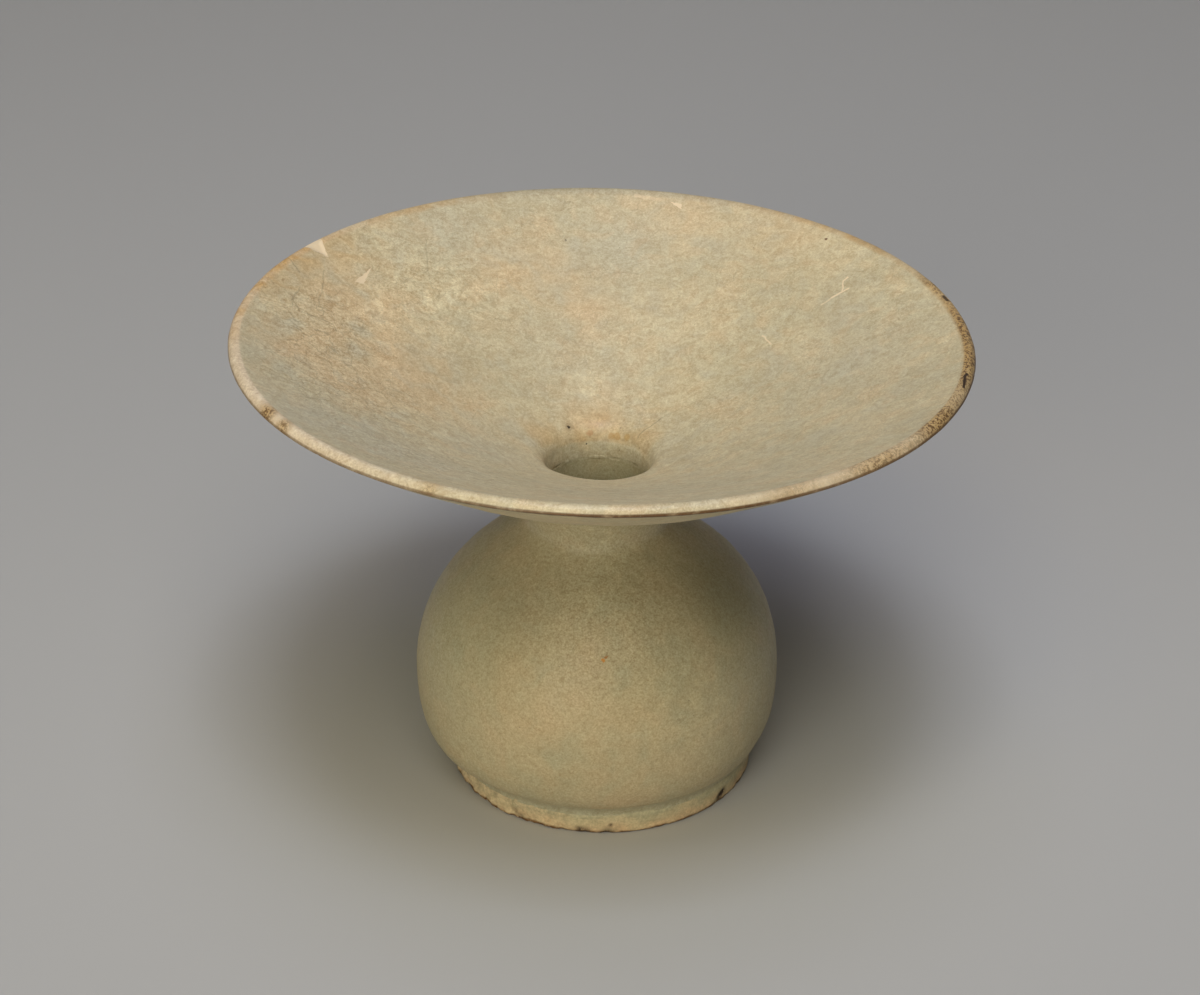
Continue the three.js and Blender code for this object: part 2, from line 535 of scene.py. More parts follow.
@dataclass(frozen=True)
class HandWork:
    """Marks of throwing and of uneven glaze that run over all pieces alike."""

    swell: Ripple = Ripple(48 * MM, 11)
    lumps: Ripple = Ripple(9 * MM, 12)
    wander: Ripple = Ripple(60 * MM, 13)
    swell_depth: float = 0.12 * MM
    lump_depth: float = 0.02 * MM
    ring_depth: float = 0.035 * MM
    ring_pitch: float = 4.7 * MM
    ring_wander: float = 1.3
    ring_fading: float = 0.4

    def rings(self, along: np.ndarray, angle: np.ndarray, places: np.ndarray) -> np.ndarray:
        """Relief of the spiral that the potter's fingers left.

        Args:
            along: Metres along the outline, by row.
            angle: Radians of each column.
            places: Places of the vertices.

        Returns:
            Metres outwards for each row and column.
        """
        wander = self.ring_wander * self.wander.at(places)
        turn = 2.0 * math.pi * along / self.ring_pitch + angle + wander
        fading = 1.0 - self.ring_fading + self.ring_fading * self.swell.at(places)
        return self.ring_depth * np.sin(turn) * fading

    def uneven(self, places: np.ndarray) -> np.ndarray:
        """Relief of uneven clay and glaze, in metres."""
        return self.swell_depth * self.swell.at(places) + self.lump_depth * self.lumps.at(places)


HAND = HandWork()


@dataclass
class MouthDish(ThrownPiece):
    """The dish mouth: flaring underside, bevelled lip, shallow dish, rounded brim and throat."""

    name: str = "mouth_dish_glazed"
    node: str = "mouth_dish"
    slot: Slot = Slot.GLAZE
    level: float = JOINT_LEVEL
    columns: int = 590
    mouth_radius: float = 86 * MM
    throat_radius: float = THROAT_RADIUS
    throat_draft: float = 8.0
    brim_level: float = 2.57 * MM
    brim_radius: float = 6 * MM
    dish_rise: float = 34.68 * MM
    bevel_width: float = 2.5 * MM
    bevel_fall: float = 1.65 * MM
    edge_radius: float = 0.35 * MM
    edge_start: float = -60.0
    bevel_swell: tuple[float, float] = (0.3, 0.325)
    waist_radius: float = WAIST_RADIUS
    waist_drop: float = 8.8 * MM
    waist_fillet: float = WAIST_FILLET
    dish_curl: float = 3.93
    underside_curl: float = 4.5
    wear_depth: float = 0.03 * MM
    nick_depth: float = 0.1 * MM
    calm_radius: float = 70 * MM
    line_reach: tuple[float, float] = (0.4 * MM, 0.75 * MM)
    chip_azimuths: tuple[float, ...] = (146.5, 78.5)
    chip_width: float = 7.0
    chip_density: float = 1.8
    flakes: tuple[Flake, ...] = ()
    patches: tuple[Patch, ...] = (
        patches_of(
            Tint.WARM,
            (178, 70, 11, 0.8), (152, 73, 10, 0.9), (163, 57, 15, 0.8), (168, 43, 12, 0.8),
            (-169, 58, 11, 0.8), (112, 63, 9, 0.8), (101, 60, 7, 0.8), (96, 49, 6, 1.0),
            (74, 78, 8, 0.7), (55, 80, 9, 0.6),
        )
        + patches_of(
            Tint.COOL,
            (121, 76, 10, 0.7), (-173, 80, 7, 0.4), (-150, 75, 13, 0.9), (-135, 61, 16, 1.0),
            (-155, 30, 9, 0.7), (85, 66, 9, 0.7), (-70, 55, 25, 0.35), (10, 60, 18, 0.4),
        )
        + patches_of(
            Tint.PALE_AND_LIT,
            (97, 25, 4.5, 1.0), (152, 61, 6, 0.8), (142, 54, 8, 0.8), (40, 79, 9, 0.5),
            (22, 80, 9, 0.6), (1, 81, 9, 0.6), (-20, 81, 9, 0.5), (120, 40, 10, 0.5),
            (128, 61, 12, 0.9),
        )
        + patches_of(
            Tint.POOL_AND_SHADE,
            # darker patches in the dish's middle towards the back left and at its front
            (116, 36, 14, 0.4), (-90, 50, 30, 0.4),
        )
        + patches_of(
            Tint.HAIR,
            (165, 70, 14, 1.0), (-170, 60, 20, 1.0), (135, 66, 16, 0.6), (-130, 60, 22, 0.7),
        )
        + patches_of(
            Tint.OCHRE,
            (95, 13.5, 6.5, 0.7), (150, 16, 5, 0.4), (45, 15, 5, 0.3), (162, 84, 6, 0.9),
            (152, 83, 6, 0.6), (143, 80, 6, 0.4),
        )
    )
    lip_stains_and_shade: tuple[Patch, ...] = (
        patches_of(
            Tint.OCHRE,
            (175, 86, 15, 0.8), (155, 86, 15, 0.8), (125, 86, 20, 0.5), (45, 86, 30, 0.6),
            (10, 86, 18, 0.5), (-4, 86, 18, 0.4),
        )
        + patches_of(
            Tint.POOL_AND_SHADE,
            # painted shade along the back of the lip, where its bevel faces away from the lamps
            (55, 86, 36, 0.45), (98, 86, 42, 0.8),
        )
        + patches_of(
            Tint.RUST_AND_CONTACT_SHADE,
            (-10, 85, 18, 1.0), (-30, 85, 10, 1.0), (-46, 85, 10, 0.7), (-62, 85, 8, 0.35),
            (6, 85, 12, 0.9), (20, 85, 8, 0.7), (38, 85.5, 8, 0.3), (-149, 85.4, 2.6, 1.0),
            (-144, 85.4, 2.0, 0.8), (-115, 85.5, 2.2, 0.5),
        )
    )
    lip_shares: Shares = (
        (-180, 1.0), (-150, 1.0), (-130, 0.7), (-105, 0.05), (-80, 0.1), (-60, 0.7), (-45, 0.8),
        (-15, 0.35), (30, 0.25), (60, 0.4), (90, 0.2), (125, 0.2), (150, 1.0), (180, 1.0),
    )
    fade_reaches: Shares = (
        (-180, 0.5 * MM), (-10, 0.5 * MM), (40, 0.9 * MM), (75, 1.7 * MM), (120, 1.7 * MM),
        (150, 0.7 * MM), (180, 0.5 * MM),
    )
    edge_shares: Shares = (
        (-180, 0.5), (-160, 0.6), (-120, 0.7), (-95, 1.0), (-70, 1.0), (-50, 0.8), (-10, 1.0),
        (25, 0.7), (60, 0.4), (110, 0.6), (160, 0.9), (180, 0.5),
    )

    def angles(self) -> np.ndarray:
        """Columns that gather where the lip is chipped."""
        return gathered_columns(self.columns, self.chip_azimuths, self.chip_width, self.chip_density)

    def outline(self) -> Outline:
        """Section from the land out along the underside, over the lip and back down the throat.

        Returns:
            The section, with heights from the joint.
        """
        rest = self.waist_drop
        fillet = self.waist_fillet
        land_outer = self.waist_radius + fillet - math.sqrt(fillet**2 - rest**2)
        land_angle = math.degrees(math.asin(rest / fillet))
        draft = math.radians(self.throat_draft)
        wall_top = self.brim_level + self.brim_radius * math.sin(draft)
        wall_radius = self.throat_radius + wall_top * math.tan(draft)
        brim_centre = (wall_radius + self.brim_radius * math.cos(draft), self.brim_level)
        slope = math.degrees(math.atan2(self.dish_rise, self.mouth_radius - brim_centre[0]))
        under_slope = slope - self.underside_curl
        inner_slope = slope - self.dish_curl
        lip_level = self.brim_level + self.dish_rise
        edge = (self.mouth_radius - self.edge_radius, lip_level)
        crest = (self.mouth_radius - self.bevel_width, lip_level + self.bevel_fall)
        across, above = self.bevel_swell
        swell = (self.mouth_radius - across * self.bevel_width, crest[1] + above * self.bevel_fall)
        lip_arc = arc(edge, self.edge_radius, self.edge_start, 0, 4)
        flare_centre = (self.waist_radius + fillet, -rest)
        flare = arc(flare_centre, fillet, 180 - land_angle, 90 + under_slope, 8)
        brim = arc(brim_centre, self.brim_radius, 90 + inner_slope, 180 - self.throat_draft, 10)
        section = Outline()
        section.add(Zone.LAND, [(self.throat_radius, 0.0), (land_outer, 0.0)])
        section.add(Zone.UNDERSIDE, flare)
        section.add(Zone.UNDERSIDE, curve(bowed(flare[-1], lip_arc[0], under_slope), 40, 1.15))
        section.add(Zone.LIP_EDGE, lip_arc)
        section.add(Zone.LIP, curve([lip_arc[-1], swell, crest], 13))
        inside = curve(bowed(brim[0], crest, inner_slope), 84, 1.12)
        section.add(Zone.DISH, inside[::-1])
        section.add(Zone.BRIM, brim)
        wall_bend = (self.throat_radius, 0.4 * wall_top)
        section.add(Zone.THROAT, curve([brim[-1], wall_bend, section.points[0]], 8)[:-1])
        return section

    def relief(self, turned: Turned) -> np.ndarray:
        """Throwing marks, an uneven lip and the hollows of the flakes.

        Args:
            turned: The swept outline.

        Returns:
            Metres outwards for each row and column.
        """
        places = turned.places()
        dish = turned.mask(Zone.DISH, Zone.BRIM)
        under = turned.mask(Zone.UNDERSIDE)
        lip = turned.mask(Zone.LIP, Zone.LIP_EDGE)
        near_lip = smooth(turned.radius, self.calm_radius, self.mouth_radius - self.bevel_width)
        body = HAND.uneven(places) * (dish + under) * (1.0 - near_lip)
        rings = HAND.rings(turned.along, turned.angle, places) * (dish + under) * (1.0 - 0.7 * near_lip)
        worn = np.abs(Ripple(16 * MM, 21).at(places)) * self.wear_depth
        nicks = np.maximum(Ripple(3.2 * MM, 22).at(places) - 2.0, 0.0) * self.nick_depth
        total = body + rings - lip * (worn + nicks)
        for flake in self.flakes:
            total = total + flake.hollow(places) * turned.mask(Zone.DISH, Zone.LIP)
        return total

    def tints(self, turned: Turned, places: np.ndarray) -> dict[Tint, np.ndarray]:
        """Lip band and line, warm, cool and darker patches, rust at the lip and painted shade along the back of
        the lip.

        Args:
            turned: The swept outline.
            places: Places of its vertices.

        Returns:
            Amounts of each tint.
        """
        inside = turned.mask(Zone.DISH, Zone.BRIM, Zone.LIP)
        lip = turned.mask(Zone.LIP, Zone.LIP_EDGE)
        from_crest = self.mouth_radius - self.bevel_width - turned.radius
        azimuth = (np.degrees(turned.angle) + 180.0) % 360.0 - 180.0
        reach = np.interp(azimuth, *zip(*self.fade_reaches))
        fade = turned.mask(Zone.DISH) * (1.0 - np.clip(from_crest / reach, 0.0, 1.0) ** 2)
        corner = turned.along[turned.zones == Zone.LIP_EDGE.value].max()
        near = 1.0 - smooth(np.abs(turned.along - corner), *self.line_reach)
        line = near * np.interp(azimuth, *zip(*self.edge_shares))
        found = {}
        near_lip = np.maximum(lip, fade)
        self.gather(found, self.patches, places, inside)
        self.gather(found, self.lip_stains_and_shade, places, near_lip)
        return {**found, Tint.LIP: near_lip * np.interp(azimuth, *zip(*self.lip_shares)), Tint.EDGE: line}


@dataclass
class GlobeBody(ThrownPiece):
    """The globe with its neck: hollowed base, trimmed heel, belly, shoulder, bore and floor."""

    name: str = "globe_body_glazed"
    node: str = "globe_body"
    slot: Slot = Slot.GLAZE
    level: float = BODY_LEVEL
    columns: int = 480
    globe_height: float = 68 * MM
    belly_radius: float = 44.1 * MM
    belly_height: float = 18.9 * MM
    base_radius: float = 36.2 * MM
    hollow_rise: float = 1.2 * MM
    hollow_radius: float = 28.2 * MM
    belly_wall: float = 5.5 * MM
    floor_thickness: float = 5.5 * MM
    waist_radius: float = WAIST_RADIUS
    waist_drop: float = 8 * MM
    waist_fillet: float = WAIST_FILLET
    throat_end_radius: float = THROAT_RADIUS
    neck_bore_radius: float = 13 * MM
    neck_bore_depth: float = 12.6 * MM
    heel_spread: float = 0.67
    heel_lift: float = 0.056
    heel_reach: float = 0.627
    shoulder_reach: float = 0.69
    waist_reach: float = 0.13
    floor_reach: float = 0.72
    floor_spread: float = 0.68
    inner_rings: float = 2.5
    patches: tuple[Patch, ...] = (
        patches_of(
            Tint.COOL,
            (-151, 41, 13, 0.7, 44), (-90, 20, 9, 0.4, 66), (-25, 44, 14, 0.3, 30),
            (150, 43, 20, 0.5, 24),
        )
        + patches_of(
            Tint.WARM,
            (-110, 43, 15, 0.6, 34), (-80, 43, 16, 0.6, 16), (-95, 38, 9, 0.35, 50),
            (80, 43, 20, 0.5, 34),
        )
        + patches_of(
            Tint.POOL_AND_SHADE,
            # painted shade: darker patches on the shoulders where the dish's shadow falls
            (-26, 33, 13, 0.8, 54), (-128, 36, 9, 0.45, 57),
        )
        + patches_of(
            Tint.PALE_AND_LIT,
            # painted light: the neck front and the belly's lower right, lit below the dish's shadow
            (-58, 42, 13, 1.2, 38), (-88, 30, 9, 0.9, 60), (-88, 17, 6, 1.0, 70),
        )
        + patches_of(
            Tint.HAIR,
            (-90, 34, 24, 0.8, 60),
        )
    )

    def outline(self) -> Outline:
        """Section from the base's middle out, up to the neck and down inside to the floor.

        Returns:
            The section, with heights from the base.
        """
        belly = (self.belly_radius, self.belly_height)
        waist = (self.waist_radius, self.globe_height - self.waist_drop)
        base = (self.base_radius, 0.0)
        rise = waist[1] - belly[1]
        heel = [
            base,
            (base[0] + (belly[0] - base[0]) * self.heel_spread, belly[1] * self.heel_lift),
            (belly[0], belly[1] * (1 - self.heel_reach)),
            belly,
        ]
        shoulder = [
            belly,
            (belly[0], belly[1] + rise * self.shoulder_reach),
            (waist[0], waist[1] - rise * self.waist_reach),
            waist,
        ]
        fillet = self.waist_fillet
        neck_top = math.degrees(math.asin(self.waist_drop / fillet))
        neck = arc((self.waist_radius + fillet, waist[1]), fillet, 180, 180 - neck_top, 14)
        bore_end = (self.neck_bore_radius, self.globe_height - self.neck_bore_depth)
        inner = (self.belly_radius - self.belly_wall, self.belly_height)
        fall = bore_end[1] - inner[1]
        inner_shoulder = [
            bore_end,
            (bore_end[0], bore_end[1] - fall * self.waist_reach),
            (inner[0], inner[1] + fall * self.shoulder_reach),
            inner,
        ]
        floor = (0.0, self.floor_thickness)
        floor_curve = [
            inner,
            (inner[0], inner[1] - (inner[1] - floor[1]) * self.floor_reach),
            (inner[0] * self.floor_spread, floor[1]),
            floor,
        ]
        section = Outline()
        hollow = [(0.0, self.hollow_rise), (self.hollow_radius / 2, self.hollow_rise)]
        hollow.append((self.hollow_radius, 0.0))
        section.add(Zone.REST, curve(hollow, 14))
        section.add(Zone.LAND, [base])
        section.add(Zone.OUTSIDE, curve(heel, 34))
        section.add(Zone.OUTSIDE, curve(shoulder, 76))
        section.add(Zone.OUTSIDE, neck)
        bore_top = (self.throat_end_radius, self.globe_height)
        section.add(Zone.LAND, [bore_top])
        bore_middle = (self.throat_end_radius, self.globe_height - 0.5 * self.neck_bore_depth)
        section.add(Zone.INSIDE, curve([bore_top, bore_middle, bore_end], 12))
        section.add(Zone.INSIDE, curve(inner_shoulder, 26))
        section.add(Zone.INSIDE, curve(floor_curve, 22))
        return section

    def relief(self, turned: Turned) -> np.ndarray:
        """Throwing marks inside and out, dying away towards the joints.

        Args:
            turned: The swept outline.

        Returns:
            Metres outwards for each row and column.
        """
        places = turned.places()
        outside = turned.mask(Zone.OUTSIDE)
        inside = turned.mask(Zone.INSIDE)
        height = turned.height
        above_base = smooth(height, 0.4 * MM, 5 * MM)
        clear = above_base * (1.0 - smooth(height, self.globe_height - 6 * MM, self.globe_height))
        rings = HAND.rings(turned.along, turned.angle, places)
        inner_rings = self.inner_rings * rings
        return (HAND.uneven(places) + rings) * clear * outside + inner_rings * clear * inside

    def tints(self, turned: Turned, places: np.ndarray) -> dict[Tint, np.ndarray]:
        """Warm and cool patches of the glaze, painted shade on the shoulders, painted light on the neck and
        belly, and the glaze pooled at the heel.

        Args:
            turned: The swept outline.
            places: Places of its vertices.

        Returns:
            Amounts of each tint.
        """
        outside = turned.mask(Zone.OUTSIDE)
        heel = 1.0 - smooth(turned.height, 0.0, 2.6 * MM)
        found = {patch.tint: 0.0 for patch in self.patches}
        found[Tint.POOL_AND_SHADE] = 0.7 * heel * outside
        self.gather(found, self.patches, places, outside)
        return found


@dataclass
class FootRing(ThrownPiece):
    """The foot ring: glaze pooled on its shoulder, worn to clay at its edge and burnt underneath."""

    name: str = "foot_ring_fired"
    node: str = "foot_ring"
    slot: Slot = Slot.FOOT
    level: float = 0.0
    columns: int = 900
    radius: float = 36.5 * MM
    height: float = 6.8 * MM
    width: float = 7.2 * MM
    inner_draft: float = 0.5 * MM
    shoulder_swell: float = 0.4 * MM
    shoulder_radius: float = 2 * MM
    outer_chamfer: float = 0.4 * MM
    inner_chamfer: float = 1.3 * MM
    crust_azimuth: float = -140.0
    crust_width: float = 38.0
    bite_depth: float = 0.3 * MM
    pit_depth: float = 0.12 * MM
    wear_depth: float = 0.08 * MM
    crust_wear: float = 0.14 * MM
    glaze_swell: float = 0.05 * MM
    glaze_lumps: tuple[float, float] = (0.015 * MM, 0.05 * MM)
    grit_lumps: float = 0.16 * MM
    grit_grains: float = 0.09 * MM
    grit_loss: float = 0.25 * MM
    burnt: tuple[Patch, ...] = (
        patches_of(
            Tint.BURNT,
            (-98.5, 36.3, 1.0, 0.9, 0.8), (-96.0, 36.3, 1.1, 0.8, 0.3), (-88.0, 36.3, 1.8, 0.8, 0.0),
            (-125.2, 36.5, 0.8, 0.8, 1.9), (-122.5, 36.5, 0.9, 0.8, 1.0), (-37.0, 36.6, 1.1, 1.0, 2.5),
            (-38.8, 36.6, 1.3, 1.0, 1.5), (-86.7, 36.6, 0.5, 0.8, 2.6), (60.0, 36.5, 4.0, 0.7, 0.3),
            (160.0, 36.5, 3.0, 0.7, 0.4),
        )
    )

    def outline(self) -> Outline:
        """Section from the resting face round the outside and down the inner wall.

        Returns:
            The section, with heights from the resting face.
        """
        inner = self.radius - self.width
        swollen = self.radius + self.shoulder_swell
        centre = (swollen - self.shoulder_radius, self.height - self.shoulder_radius)
        rest_inner = (inner + self.inner_chamfer, 0.0)
        rest_outer = (self.radius - self.outer_chamfer, 0.0)
        wall_foot = (self.radius, self.outer_chamfer)
        shoulder = arc(centre, self.shoulder_radius, 0, 60, 10)
        top_inner = (inner - self.inner_draft, self.height)
        section = Outline()
        section.add(Zone.REST, curve([rest_inner, rest_outer], 12))
        section.add(Zone.FOOT_WALL, curve([rest_outer, wall_foot], 3))
        section.add(Zone.FOOT_WALL, curve([wall_foot, shoulder[0]], 16))
        section.add(Zone.SHOULDER, shoulder)
        section.add(Zone.SHOULDER, [(shoulder[-1][0], self.height)])
        section.add(Zone.LAND, [top_inner])
        section.add(Zone.INSIDE, curve([top_inner, (inner, self.inner_chamfer), rest_inner], 12)[:-1])
        return section

    def crust(self, turned: Turned) -> np.ndarray:
        """How crusted with kiln grit the ring is at each column, from 0 to 1."""
        away = (np.degrees(turned.angle) - self.crust_azimuth + 180.0) % 360.0 - 180.0
        return np.exp(-((away / self.crust_width) ** 2))

    def bites(self, places: np.ndarray) -> np.ndarray:
        """How burnt and bitten away each place is."""
        return sum(patch.at(places) for patch in self.burnt)

    def relief(self, turned: Turned) -> np.ndarray:
        """A worn edge, pitted clay, lumpy glaze and crusted grit.

        Args:
            turned: The swept outline.

        Returns:
            Metres outwards for each row and column.
        """
        places = turned.places()
        wall = turned.mask(Zone.FOOT_WALL, Zone.SHOULDER)
        rest = turned.mask(Zone.REST)
        low = 1.0 - smooth(turned.height, 0.2 * MM, 3.4 * MM)
        crust = self.crust(turned)
        lumps = Ripple(3.4 * MM, 31).at(places)
        fine = Ripple(1.3 * MM, 32).at(places)
        swell = Ripple(14 * MM, 33).at(places)
        wear = (self.wear_depth + self.crust_wear * crust) * low
        worn = -np.maximum(Ripple(2.6 * MM, 34).at(places) - 0.7, 0.0) * wear
        high_lumps, low_lumps = self.glaze_lumps
        glaze = self.glaze_swell * swell + (high_lumps + low_lumps * low) * lumps
        grit = crust * (self.grit_lumps * lumps + self.grit_grains * fine - self.grit_loss)
        bitten = -self.bite_depth * self.bites(places)
        pits = -np.maximum(Ripple(1.6 * MM, 35).at(places) - 1.0, 0.0) * self.pit_depth
        side = worn + glaze + grit + bitten
        side = np.minimum(side, 0.0) + np.maximum(side, 0.0) * smooth(turned.height, 0.0, 1.2 * MM)
        return wall * side + rest * np.minimum(pits + bitten * 0.5, 0.0)

    def tints(self, turned: Turned, places: np.ndarray) -> dict[Tint, np.ndarray]:
        """Pooled glaze above, bare clay below, grit on the left, burnt bites along the edge, and rust along the
        bottom edge that is partly painted contact shadow.

        Args:
            turned: The swept outline.
            places: Places of its vertices.

        Returns:
            Amounts of each tint.
        """
        wall = turned.mask(Zone.FOOT_WALL, Zone.SHOULDER)
        under = turned.mask(Zone.REST, Zone.INSIDE)
        lift = Ripple(11 * MM, 41).at(places) * 0.5 * MM
        crust = self.crust(turned)
        pool = smooth(turned.height + lift - 1.5 * MM * crust, 3.8 * MM, 5.4 * MM) * wall
        bare = 1.0 - smooth(turned.height + lift, 1.0 * MM, 3.8 * MM)
        # rust at the bottom edge, made thick enough to stand also for painted contact shadow
        rust = (1.0 - smooth(turned.height + 0.3 * lift, 0.4 * MM, 1.1 * MM)) * wall
        return {
            Tint.POOL_AND_SHADE: pool,
            Tint.BARE: np.maximum(bare * wall, under),
            Tint.GRIT: crust * wall * (1.0 - 0.5 * pool),
            Tint.BURNT: self.bites(places) * np.maximum(wall, under),
            Tint.RUST_AND_CONTACT_SHADE: np.maximum(rust, 0.5 * under),
        }


@dataclass
class SlipRing(ThrownPiece):
    """A ring of luting slip between two lands, with a bead inwards and a cove or flush edge outwards."""

    inner: float = 0.0
    outer: tuple[Point, ...] = ()
    thickness: float = SLIP_THICKNESS
    bead: float = 0.6 * MM
    unevenness: float = 0.05 * MM

    def outline(self) -> Outline:
        """Section with its cove outside and its bead inside.

        Returns:
            The section, with heights from the ring's lower face.
        """
        seat = self.outer[0][0] - 1.2 * self.thickness
        section = Outline()
        section.add(Zone.LAND, [(self.inner, 0.0), (seat, 0.0)])
        section.add(Zone.OUTSIDE, curve(list(self.outer), 12))
        section.add(Zone.LAND, [(seat, self.thickness), (self.inner, self.thickness)])
        swell = (self.inner - 2 * self.bead, self.thickness / 2)
        bead = curve([(self.inner, self.thickness), swell, (self.inner, 0.0)], 8)
        section.add(Zone.INSIDE, bead[:-1])
        return section

    def relief(self, turned: Turned) -> np.ndarray:
        """A bead that the finger left uneven."""
        places = turned.places()
        return turned.mask(Zone.INSIDE) * self.unevenness * Ripple(6 * MM, 51).at(places)

    def tints(self, turned: Turned, places: np.ndarray) -> dict[Tint, np.ndarray]:
        """Glaze pooled in the joint."""
        return {Tint.POOL_AND_SHADE: turned.mask(Zone.OUTSIDE) * 0.7}


class Wiring:
    """Adds shader nodes to one material and joins them."""

    def __init__(self, name: str) -> None:
        """Start a material with its Principled BSDF.

        Args:
            name: Name of the material.
        """
        self.material = bpy.data.materials.new(name)
        self.material.use_nodes = True
        self.tree = self.material.node_tree
        self.shader = self.tree.nodes["Principled BSDF"]
        self.places = self.tree.nodes.new("ShaderNodeTexCoord").outputs["Object"]

    def node(self, kind: str, inputs: dict, **choices: str) -> bpy.types.Node:
        """Add a node.

        Args:
            kind: Blender's name for it, without ShaderNode.
            inputs: What feeds each input, by its name or number.
            choices: Settings that are made before the inputs are fed.

        Returns:
            The node.
        """
        made = self.tree.nodes.new(f"ShaderNode{kind}")
        for name, choice in choices.items():
            setattr(made, name, choice)
        for name, value in inputs.items():
            self.put(made.inputs[name], value)
        return made

    def put(self, socket: Socket, value: "Socket | float | tuple") -> None:
        """Link a socket, or set its own value where the value is a constant.

        Args:
            socket: The input to feed.
            value: Another node's output, or a number, vector or colour.
        """
        if isinstance(value, bpy.types.NodeSocket):
            self.tree.links.new(value, socket)
        elif socket.type == "RGBA" and len(value) == 3:
            socket.default_value = (*value, 1.0)
        else:
            socket.default_value = value

    def finish(self, name: str, value: "Socket | float | tuple") -> None:
        """Link or set one of the shader's inputs."""
        self.put(self.shader.inputs[name], value)

    def math(self, operation: str, first: "Socket | float", second: "Socket | float" = 0.0) -> Socket:
        """Result of one of Blender's sums on one or two values."""
        return self.node("Math", {0: first, 1: second}, operation=operation).outputs[0]

    def times(self, first: "Socket | float", second: "Socket | float") -> Socket:
        """Product of two values."""
        return self.math("MULTIPLY", first, second)

    def plus(self, first: "Socket | float", second: "Socket | float") -> Socket:
        """Sum of two values."""
        return self.math("ADD", first, second)

    def vector(self, operation: str, first: "Socket | tuple", second: "Socket | tuple | float") -> Socket:
        """Do a sum on vectors.

        Args:
            operation: Blender's name for the sum.
            first: First vector.
            second: Second vector, or the factor of a SCALE.

        Returns:
            A number for LENGTH and DOT_PRODUCT, else a vector.
        """
        other = "Scale" if operation == "SCALE" else 1
        node = self.node("VectorMath", {0: first, other: second}, operation=operation)
        return node.outputs["Value"] if operation in ("LENGTH", "DOT_PRODUCT") else node.outputs[0]

    def ramp(self, value: Socket, low: float, high: float, start: float = 0.0, end: float = 1.0) -> Socket:
        """Ease a value from one result to another.

        Args:
            value: Value to ease.
            low: Where the result is start.
            high: Where the result is end.
            start: Result at low and beyond.
            end: Result at high and beyond.

        Returns:
            The eased value.
        """
        inputs = dict(enumerate((value, low, high, start, end)))
        return self.node("MapRange", inputs, interpolation_type="SMOOTHSTEP").outputs[0]

    def noise(self, size: float, detail: float = 2.0, rough: float = 0.5, warp: float = 0.0) -> Socket:
        """Noise between 0 and 1.

        Args:
            size: Size of its features in metres.
            detail: Number of finer layers.
            rough: Strength of each finer layer beside the last.
            warp: How much the noise bends itself.

        Returns:
            The noise.
        """
        inputs = {"Vector": self.places, "Scale": 1.0 / size, "Detail": detail}
        inputs.update({"Roughness": rough, "Distortion": warp})
        return self.node("TexNoise", inputs).outputs["Fac"]

    def cells(self, size: float, feature: str, at: Socket | None = None) -> bpy.types.Node:
        """Voronoi cells about that size in metres, F1 or DISTANCE_TO_EDGE."""
        inputs = {"Vector": self.places if at is None else at, "Scale": 1.0 / size}
        return self.node("TexVoronoi", inputs, feature=feature)

    def warped(self, size: float, reach: float) -> Socket:
        """Places pushed about by noise.

        Args:
            size: Size of the noise's features in metres.
            reach: How far it pushes in metres.

        Returns:
            The places.
        """
        node = self.node("TexNoise", {"Vector": self.places, "Scale": 1.0 / size})
        centred = self.vector("SUBTRACT", node.outputs["Color"], (0.5, 0.5, 0.5))
        return self.vector("ADD", self.places, self.vector("SCALE", centred, 2.0 * reach))

    def mix(self, share: "Socket | float", first: "Socket | Colour", second: "Socket | Colour") -> Socket:
        """First colour, with a share of the second."""
        return self.node("Mix", {0: share, 6: first, 7: second}, data_type="RGBA").outputs[2]

    def layered(self, colour: "Socket | Colour", *layers: tuple) -> Socket:
        """Lay colours over another.

        Args:
            colour: The lowest colour.
            layers: Share and colour of each layer, from below.

        Returns:
            The colour that shows.
        """
        for share, ink in layers:
            colour = self.mix(share, colour, ink)
        return colour

    def tint(self, tint: Tint) -> Socket:
        """Amount of a tint from the mesh."""
        return self.node("Attribute", {}, attribute_name=tint.value).outputs["Fac"]

    def broken(self, tint: Tint, noise: Socket, *ends: float) -> Socket:
        """Amount of a tint from the mesh, broken up by noise eased between ends."""
        return self.times(self.tint(tint), self.ramp(noise, *ends))

    def spot(self, at: Socket, centre: tuple[float, float, float], radius: float) -> Socket:
        """1 within a round spot, with a soft edge."""
        away = self.vector("LENGTH", self.vector("SUBTRACT", at, centre), (0.0, 0.0, 0.0))
        return self.ramp(away, radius * 1.25, radius * 0.75)

    def stroke(self, at: Socket, start: Point, end: Point, width: float) -> Socket:
        """Draw a thin straight stroke seen from above.

        Args:
            at: Places, all at height 0.
            start: X and y of its start in metres.
            end: X and y of its end in metres.
            width: Its width in metres.

        Returns:
            1 along the stroke, with soft edges.
        """
        along = (end[0] - start[0], end[1] - start[1], 0.0)
        scale = 1.0 / (along[0] ** 2 + along[1] ** 2)
        from_start = self.vector("SUBTRACT", at, (start[0], start[1], 0.0))
        share = self.vector("DOT_PRODUCT", from_start, tuple(scale * part for part in along))
        foot = self.vector("SCALE", along, self.node("Clamp", {"Value": share}).outputs[0])
        away = self.vector("LENGTH", self.vector("SUBTRACT", from_start, foot), (0.0, 0.0, 0.0))
        return self.ramp(away, width * 0.75, width * 0.25)

